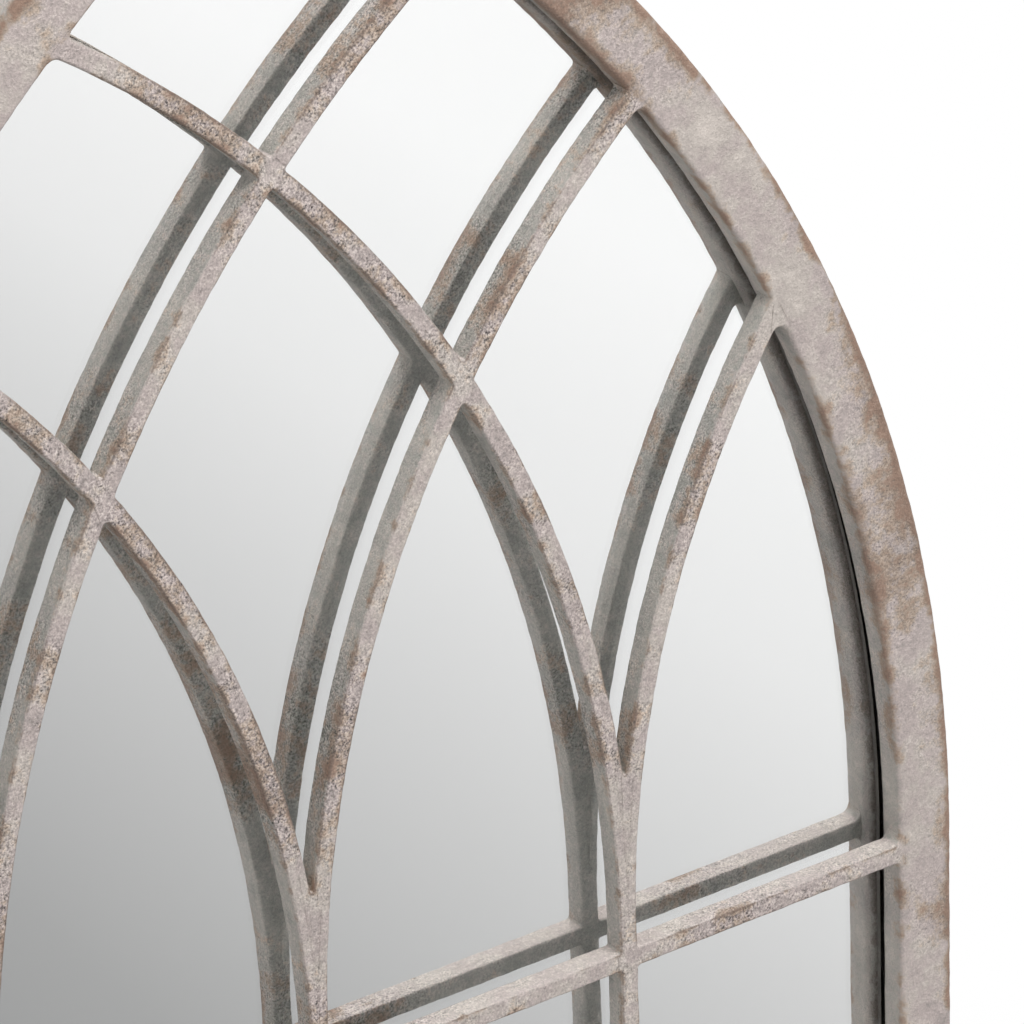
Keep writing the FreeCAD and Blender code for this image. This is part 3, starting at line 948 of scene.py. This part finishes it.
class Shader:
    """Node tree of a material or world."""

    def __init__(self, owner):
        owner.use_nodes = True
        self.owner = owner
        self.tree = owner.node_tree
        self.tree.nodes.clear()

    def node(self, kind, settings=None, values=None):
        """Adds a node; a ramp's stops are a setting, and sockets take numbers, colours or signals."""
        added = self.tree.nodes.new(kind)
        for key, setting in (settings or {}).items():
            if key == "stops":
                self.set_stops(added.color_ramp, setting)
            else:
                setattr(added, key, setting)
        for key, value in (values or {}).items():
            if isinstance(value, Signal):
                self.tree.links.new(value.socket, added.inputs[key])
            else:
                added.inputs[key].default_value = value
        return added

    def set_stops(self, ramp, stops):
        while len(ramp.elements) < len(stops):
            ramp.elements.new(1)
        for element, (position, level) in zip(ramp.elements, stops):
            element.position = position
            element.color = (level, level, level, 1)

    def value(self, kind, settings=None, values=None, output=0):
        return Signal(self, self.node(kind, settings, values).outputs[output])

    def place(self):
        return self.value("ShaderNodeTexCoord", output="Object")

    def moved(self, place, shift):
        return self.value("ShaderNodeVectorMath", {"operation": "ADD"}, {0: place, 1: shift})

    def ray(self, kind):
        return self.value("ShaderNodeLightPath", output=kind)

    def seen_in_gloss(self):
        """1 for what gloss shows and for what is seen through glass."""
        return self.ray("Is Glossy Ray").highest(self.ray("Is Transmission Ray"))

    def lit_by_pane(self):
        """1 for light that a matt surface gets out of clear glass."""
        return self.ray("Is Transmission Ray") * self.step(self.ray("Diffuse Depth"), 0, 1)

    def noise(self, place, size, detail=3.0, roughness=0.55):
        """Noise whose largest blotches are about the size, in metres."""
        values = {"Vector": place, "Scale": 1 / size, "Detail": detail, "Roughness": roughness}
        return self.value("ShaderNodeTexNoise", None, values)

    def mottle(self, place, size, detail=3.0, roughness=0.55):
        """Noise about 0, mostly between -1 and 1."""
        return (self.noise(place, size, detail, roughness) - 0.5) * 4.0

    def cells(self, place, size):
        """Distance to the nearest of random spots that stand about the size apart."""
        return self.value("ShaderNodeTexVoronoi", None, {"Vector": place, "Scale": 1 / size})

    def step(self, signal, low, high):
        """Smooth rise from 0 at low to 1 at high."""
        values = {"Value": signal, "From Min": low, "From Max": high}
        return self.value("ShaderNodeMapRange", {"interpolation_type": "SMOOTHSTEP"}, values)

    def attribute(self, name):
        return self.value("ShaderNodeAttribute", {"attribute_name": name}, output="Fac")

    def blend(self, first, second, share):
        """Colour between two colours."""
        pair = [colour if isinstance(colour, Signal) else opaque(colour) for colour in (first, second)]
        values = {0: share, 6: pair[0], 7: pair[1]}
        return self.value("ShaderNodeMix", {"data_type": "RGBA"}, values, output=2)

    def shade(self, colour, level):
        """Colour made lighter or darker by a level."""
        grey = self.value("ShaderNodeCombineXYZ", None, {0: level, 1: level, 2: level})
        values = {0: colour, 1: grey}
        return self.value("ShaderNodeVectorMath", {"operation": "MULTIPLY"}, values)

    def bump(self, height, distance, strength=1.0):
        values = {"Height": height, "Distance": distance, "Strength": strength}
        return self.value("ShaderNodeBump", None, values, output="Normal")

    def surface(self, values):
        """Material with a principled surface."""
        principled = self.value("ShaderNodeBsdfPrincipled", None, values, output="BSDF")
        return self.finished(principled)

    def finished(self, surface):
        """Material, once a surface is joined to its output."""
        self.node("ShaderNodeOutputMaterial", None, {"Surface": surface})
        return self.owner


def opaque(colour):
    return (*colour, 1.0)


def new_shader(name):
    return Shader(bpy.data.materials.new(name))


# Materials


def distressed_paint(looks):
    """Whitewash over a grey undercoat, stained by rust and rubbed through to it at the edges, with smooth
    places and places that are gritty and pitted. Level tops are painted lighter, as painted light from above,
    and faces that look down, the bars' backs, the frame's inner edge, the fold behind the reveal and the weld
    corners darker, as painted shade."""
    shader = new_shader("weathered_paint")
    place = shader.place()
    wear = shader.attribute("wear")
    facing = shader.attribute("top")
    top = facing.highest(0)
    under = (0 - facing).highest(0)
    # Painted light: level tops get more wash and so more top coat and chalk, as if lit from above
    wash = shader.attribute("wash") + top_painted_light * top
    # Edge marks dark lines: painted shade along the frame's inner edge, behind the reveal and in weld
    # corners, and a dark line along the bars' front edges
    edge = shader.attribute("edge")
    grit = shader.attribute("grit")
    clouds = shader.mottle(shader.moved(place, looks.cloud_shift), cloud_size, 2.0)
    blotches = shader.mottle(shader.moved(place, looks.blotch_shift), blotch_size, 4.0, 0.6)
    crumbs = shader.mottle(place, crumb_size, 3.0, 0.6)
    grain = shader.mottle(place, grain_size, 2.0, 0.6)
    pits = shader.cells(place, pit_size)
    rough = shader.step(1.2 * clouds + blotches, -0.6, 0.5)

    tint = shader.step(blotches - 0.5 * clouds, -0.4, 0.6)
    coat = shader.blend(looks.whitewash, looks.cool_wash, tint * 0.9)
    cover = shader.step(wash + 0.25 * blotches + 0.22 * crumbs + 0.14 * grain, 0.05, 0.95)
    coat = shader.blend(looks.undercoat, coat, cover)

    # Less stain on level tops and more on faces that look down, most of all on the frame: painted light on
    # the tops and painted shade underneath, mixed with the stain
    rubbed = wear * (1.0 + 0.6 * blotches) + (1.25 - 0.75 * grit) * clouds - 0.35 * top
    rubbed = rubbed + (0.9 - 0.85 * grit) * under
    stained = rubbed + 0.55 * blotches + (0.12 + 0.25 * rough * grit) * crumbs + 0.12 * grain
    tanned = shader.step(stained, 0.14, 0.66)
    coat = shader.blend(coat, looks.stain, tanned * 0.9)
    bare = shader.step(stained, 0.58, 1.05)
    colour = shader.blend(coat, looks.rust, bare * 0.85)
    grained = (0.35 + 0.85 * rough) * grit * (0.65 + 0.35 * wash) * (1 - 0.55 * bare)
    # Faces that look down are painted a little darker, as painted shade
    level = 1.0 - 0.06 * under - 0.05 * clouds + 0.26 * blotches + grained * (0.35 * crumbs + 0.80 * grain)
    colour = shader.shade(colour, level)
    # Dark lines broken up by noise, in the grime and shade colour: painted shade along the frame's inner
    # edge, behind the reveal and in weld corners
    lined = shader.step(edge + 0.40 * blotches + 0.35 * clouds + 0.2 * crumbs, 0.50, 0.90)
    colour = shader.blend(colour, looks.grime_and_shade, lined * edge * 0.7)

    clusters = shader.step(shader.mottle(place, cluster_size, 2.0), -0.4, 0.6) * grained
    pitted = (1 - shader.step(pits + 0.15 * grain, 0.12, 0.48)) * clusters
    colour = shader.blend(colour, looks.grime_and_shade, pitted * 0.3)
    chalky = shader.step(grain + 0.8 * crumbs, 0.30, 0.9) * grained * (1 - 0.5 * tanned)
    # White crumbs of paint, and a painted highlight on level tops
    colour = shader.blend(colour, looks.chalk_and_highlight, chalky * wash * 0.5 + 0.22 * top * (1 - tanned))

    height = 0.22 * grain + 0.26 * crumbs + 0.10 * blotches - 0.5 * pitted + 0.25 * chalky
    return shader.surface({
        "Base Color": colour,
        "Roughness": 0.92 - 0.22 * bare,
        "Normal": shader.bump(height, looks.grit),
    })


def foam_tape():
    """Matt black closed-cell foam."""
    shader = new_shader("black_foam")
    place = shader.place()
    cells = shader.cells(place, 0.7 * MM)
    level = 0.10 + 0.14 * shader.noise(place, 4 * MM)
    colour = shader.shade((1.0, 0.92, 0.85), level)
    return shader.surface({
        "Base Color": colour,
        "Roughness": 0.95 - 0.1 * cells,
        "Normal": shader.bump(cells, 0.1 * MM),
    })


def clear_glass():
    """Float glass with a faint green body."""
    shader = new_shader("float_glass")
    place = shader.place()
    haze = shader.step(shader.noise(place, 260 * MM, 2.0), 0.2, 0.9)
    return shader.surface({
        "Base Color": shader.blend((0.998, 1.0, 0.999), (0.993, 0.997, 0.995), haze),
        "Roughness": 0.0,
        "IOR": 1.52,
        "Transmission Weight": 1.0,
    })


def silvering():
    """Silver under the glass, a shade duller in clouds."""
    shader = new_shader("silver")
    clouds = shader.noise(shader.place(), 180 * MM, 3.0)
    return shader.surface({
        "Base Color": shader.blend((0.965, 0.965, 0.965), (0.985, 0.985, 0.985), clouds),
        "Metallic": 1.0,
        "Roughness": 0.0,
    })


def hardboard():
    """Black-stained hardboard with short fibres and rubbed places."""
    shader = new_shader("stained_board")
    place = shader.place()
    fibres = shader.noise(place, 2.6 * MM, 5.0, 0.7)
    clouds = shader.noise(place, 120 * MM, 3.0)
    weave = shader.cells(place, 1.9 * MM)
    rubbed = shader.step(clouds + 0.35 * (fibres - 0.5), 0.52, 0.75)
    colour = shader.blend((0.040, 0.034, 0.030), (0.095, 0.072, 0.055), rubbed * 0.5)
    colour = shader.shade(colour, 0.7 + 0.6 * fibres)
    return shader.surface({
        "Base Color": colour,
        "Roughness": 0.62 + 0.25 * fibres,
        "Normal": shader.bump(fibres + 0.6 * weave, 0.25 * MM, 0.6),
    })


def primed_steel(name, colour, rust):
    """Primer brushed over steel, with rust in specks and where it has been bent or welded."""
    shader = new_shader(name)
    place = shader.place()
    patches = shader.noise(place, 11 * MM, 4.0, 0.6)
    specks = shader.noise(place, 1.6 * MM, 3.0, 0.6)
    rusty = shader.step(patches + 0.5 * (specks - 0.5), 0.52, 0.66)
    coat = shader.shade(colour, 0.75 + 0.5 * patches)
    return shader.surface({
        "Base Color": shader.blend(coat, rust, rusty * 0.8),
        "Metallic": 0.35 - 0.3 * rusty,
        "Roughness": 0.48 + 0.35 * rusty,
        "Normal": shader.bump(specks + rusty, 0.15 * MM),
    })


def studio_floor(looks):
    """Pale floor that keeps the shadow near the object and is plain white further off. Gloss sees
    it as a card that runs from grey in the middle to white at both sides and far ahead."""
    shader = new_shader("studio_floor")
    place = shader.place()
    x, y = [shader.value("ShaderNodeSeparateXYZ", None, {0: place}, output=axis) for axis in "XY"]
    far = shader.value("ShaderNodeVectorMath", {"operation": "LENGTH"}, {0: place}, output="Value")
    far = shader.step(far, *SHADOW_END)
    card = shader.value("ShaderNodeValToRGB", {"stops": CARD_STOPS}, {0: abs(x) * (1 / CARD_HALF)})
    card = card + shader.step(0 - y, *CARD_END) * (1 - card)
    bounced = looks.floor_colour[0] * (1 + looks.pane_gain)
    seen = shader.seen_in_gloss()
    level = card + shader.lit_by_pane() * (bounced - card)
    colour = shader.shade((1, 1, 1), 1 + seen * (level - 1))
    glow = shader.value("ShaderNodeEmission", None, {"Color": colour}, output="Emission")
    matt = shader.value("ShaderNodeBsdfDiffuse", None, {"Color": opaque(looks.floor_colour)}, output="BSDF")
    share = seen.highest(shader.ray("Is Camera Ray") * far)
    mixed = shader.value("ShaderNodeMixShader", None, {0: share, 1: matt, 2: glow}, output="Shader")
    return shader.finished(mixed)


# Operators


def paint():
    """The one painted finish, made the first time that it is asked for."""
    return bpy.data.materials.get("weathered_paint") or distressed_paint(bpy.context.scene.mirror_paint)


def painted_piece(node, shells):
    """Painted metal in place of one CAD node."""
    finished_piece(node + "_painted", shells, paint(), [node])


def dress_nodes(start, material):
    """Gives the carried-over CAD nodes whose names have that start their material."""
    for name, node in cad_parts.items():
        if name.startswith(start):
            node.data.materials.clear()
            node.data.materials.append(material)


class MIRROR_OT_frame(Operator):
    """Builds the five painted members of the frame"""

    bl_idname = "garden_mirror.frame"
    bl_label = "Painted frame"

    def execute(self, context):
        sizes = context.scene.mirror_sizes
        section = frame_section(sizes.mesh_step)
        for member, (points, normals, values) in frame_members(section, sizes.mesh_step).items():
            shell = capped(dented(points, normals, sizes.unevenness), values)
            painted_piece("frame_" + member, [shell])
        return {"FINISHED"}


class MIRROR_OT_bars(Operator):
    """Builds the mullions, the transom, the glazing bars and the tracery arcs"""

    bl_idname = "garden_mirror.bars"
    bl_label = "Painted bars"

    def execute(self, context):
        sizes = context.scene.mirror_sizes
        for node, bar in plan_bars(sizes).items():
            section = bar_section(bar.flush, sizes.bar_mesh_step)
            start, finish = bar.ends(section)
            points, normals, values = swept(bar.run, section, start, finish, sizes.bar_mesh_step)
            points = dented(points, normals, sizes.unevenness, bar_fullness)
            painted_piece(node, [poled(*drawn_in(points, values))])
        return {"FINISHED"}


class MIRROR_OT_welds(Operator):
    """Builds the dressed weld metal over every joint of the bars"""

    bl_idname = "garden_mirror.welds"
    bl_label = "Dressed welds"

    def execute(self, context):
        sizes = context.scene.mirror_sizes
        bars = plan_bars(sizes)
        painted_piece("crossing_welds", crossing_patches(bars, sizes))
        painted_piece("frame_welds", frame_patches(bars, sizes))
        painted_piece("notch_welds", notch_patches(bars, sizes))
        return {"FINISHED"}


class MIRROR_OT_pane(Operator):
    """Builds the glass and silvers the coat behind it"""

    bl_idname = "garden_mirror.pane"
    bl_label = "Mirror pane"

    def execute(self, context):
        radius = arch_outer_radius - glass_edge
        lean = np.linspace(0, math.acos(-arch_centre / radius), PANE_STEPS + 1)
        right = np.stack([arch_centre + radius * np.cos(lean), springing + radius * np.sin(lean)], axis=-1)
        right = np.concatenate([[[right[0, 0], bottom + glass_edge]], right])
        left = right[-2::-1] * [-1, 1]
        outline = np.concatenate([right, left])
        depths = front + np.array([glass_front, glass_back - silver_gap])
        points = np.stack(np.broadcast_arrays(outline[:, 0], depths[:, None], outline[:, 1]), axis=-1)
        finished_piece("mirror_glass_clear", [capped(points)], clear_glass(), ["mirror_glass"])
        dress_nodes("silver_coat", silvering())
        return {"FINISHED"}


class MIRROR_OT_back(Operator):
    """Finishes the tape, the board, its tabs and the hanging plates"""

    bl_idname = "garden_mirror.back"
    bl_label = "Tape, board and fixings"

    def execute(self, context):
        step = context.scene.mirror_sizes.mesh_step
        foam = foam_tape()
        section = tape_section(step)
        for member, (points, _, values) in frame_members(section, step).items():
            node = "glazing_tape_" + member
            finished_piece(node + "_foam", [capped(points, values)], foam, [node])
        dress_nodes("backing_board", hardboard())
        dress_nodes("board_tabs", primed_steel("tab_primer", (0.20, 0.18, 0.16), (0.22, 0.11, 0.06)))
        dress_nodes("hanger", primed_steel("plate_primer", (0.26, 0.25, 0.24), (0.24, 0.12, 0.06)))
        return {"FINISHED"}


def camera_matrix(looks):
    """Camera whose view runs along the heading and tilt, turned about itself by the roll."""
    turn, tilt, roll = looks.camera_heading, looks.camera_tilt, looks.camera_roll
    ahead = np.array([math.sin(turn) * math.cos(tilt), math.cos(turn) * math.cos(tilt), -math.sin(tilt)])
    level = np.array([math.cos(turn), -math.sin(turn), 0])
    above = np.cross(level, ahead)
    right = math.cos(roll) * level - math.sin(roll) * above
    up = math.sin(roll) * level + math.cos(roll) * above
    return placed(looks.camera_place, right, up, ahead)


def placed(place, right, up, ahead):
    """Matrix of a camera or lamp, which looks along its own -z."""
    matrix = np.eye(4)
    matrix[:3] = np.stack([right, up, -ahead, np.array(place)], axis=-1)
    return Matrix(matrix.tolist())


def square_lamp(name, place, width, power):
    """Lamp at a place, facing the origin."""
    data = bpy.data.lights.new(name, "AREA")
    data.size = width
    data.energy = power
    lamp = linked(name, data)
    ahead = -np.array(place) / np.linalg.norm(place)
    side = np.cross(ahead, [0, 0, 1])
    side /= np.linalg.norm(side)
    lamp.matrix_world = placed(place, side, np.cross(side, ahead), ahead)
    lamp.visible_camera = lamp.visible_glossy = lamp.visible_transmission = False


class MIRROR_OT_studio(Operator):
    """Sets up the floor, the lamp, the world and the camera"""

    bl_idname = "garden_mirror.studio"
    bl_label = "Studio"

    def execute(self, context):
        scene = context.scene
        looks = scene.mirror_studio
        square = FLOOR_HALF * np.array([(-1, -1), (1, -1), (1, 1), (-1, 1)])
        corners = np.column_stack([square, np.full(4, bottom)])
        mesh = bpy.data.meshes.new("studio_floor")
        mesh.from_pydata(corners, [], [(0, 1, 2, 3)])
        mesh.materials.append(studio_floor(looks))
        floor = linked("studio_floor", mesh)

        square_lamp("key_lamp", LAMP_PLACE, LAMP_SIDE, looks.key_power)

        world = bpy.data.worlds.new("studio")
        scene.world = world
        shader = Shader(world)
        seen = shader.seen_in_gloss().highest(shader.ray("Is Camera Ray"))
        strength = looks.ambient + (1 - looks.ambient) * seen + looks.pane_gain * shader.lit_by_pane()
        light = shader.value("ShaderNodeBackground", None, {"Color": opaque((1, 1, 1)), "Strength": strength})
        shader.node("ShaderNodeOutputWorld", None, {"Surface": light})

        data = bpy.data.cameras.new("camera")
        data.lens = looks.lens
        data.sensor_width = SENSOR_WIDTH
        data.clip_end = VIEW_REACH
        camera = linked("camera", data)
        camera.matrix_world = camera_matrix(looks)
        scene.camera = camera
        scene.view_settings.view_transform = "Standard"
        return {"FINISHED"}


class MIRROR_PT_panel(Panel):
    """Buttons that build the mirror piece by piece"""

    bl_idname = "MIRROR_PT_panel"
    bl_label = "Garden mirror"
    bl_space_type = "VIEW_3D"
    bl_region_type = "UI"
    bl_category = "Garden Mirror"

    def draw(self, context):
        for operator in OPERATORS:
            self.layout.operator(operator.bl_idname)
        for settings in SETTINGS:
            group = getattr(context.scene, settings)
            box = self.layout.box()
            for name in group.bl_rna.properties.keys():
                if name not in ("rna_type", "name"):
                    box.prop(group, name)


OPERATORS = [
    MIRROR_OT_frame,
    MIRROR_OT_bars,
    MIRROR_OT_welds,
    MIRROR_OT_pane,
    MIRROR_OT_back,
    MIRROR_OT_studio,
]
SETTINGS = {"mirror_sizes": FormSizes, "mirror_paint": PaintLooks, "mirror_studio": StudioLooks}
CLASSES = [*SETTINGS.values(), *OPERATORS, MIRROR_PT_panel]


def register():
    for entry in CLASSES:
        bpy.utils.register_class(entry)
    for name, group in SETTINGS.items():
        setattr(bpy.types.Scene, name, PointerProperty(type=group))


def unregister():
    for name in SETTINGS:
        delattr(bpy.types.Scene, name)
    for entry in reversed(CLASSES):
        bpy.utils.unregister_class(entry)


def main():
    register()
    bpy.ops.garden_mirror.frame()
    bpy.ops.garden_mirror.bars()
    bpy.ops.garden_mirror.welds()
    bpy.ops.garden_mirror.pane()
    bpy.ops.garden_mirror.back()
    bpy.ops.garden_mirror.studio()
    bpy.context.view_layer.update()


if __name__ == "__main__":
    main()
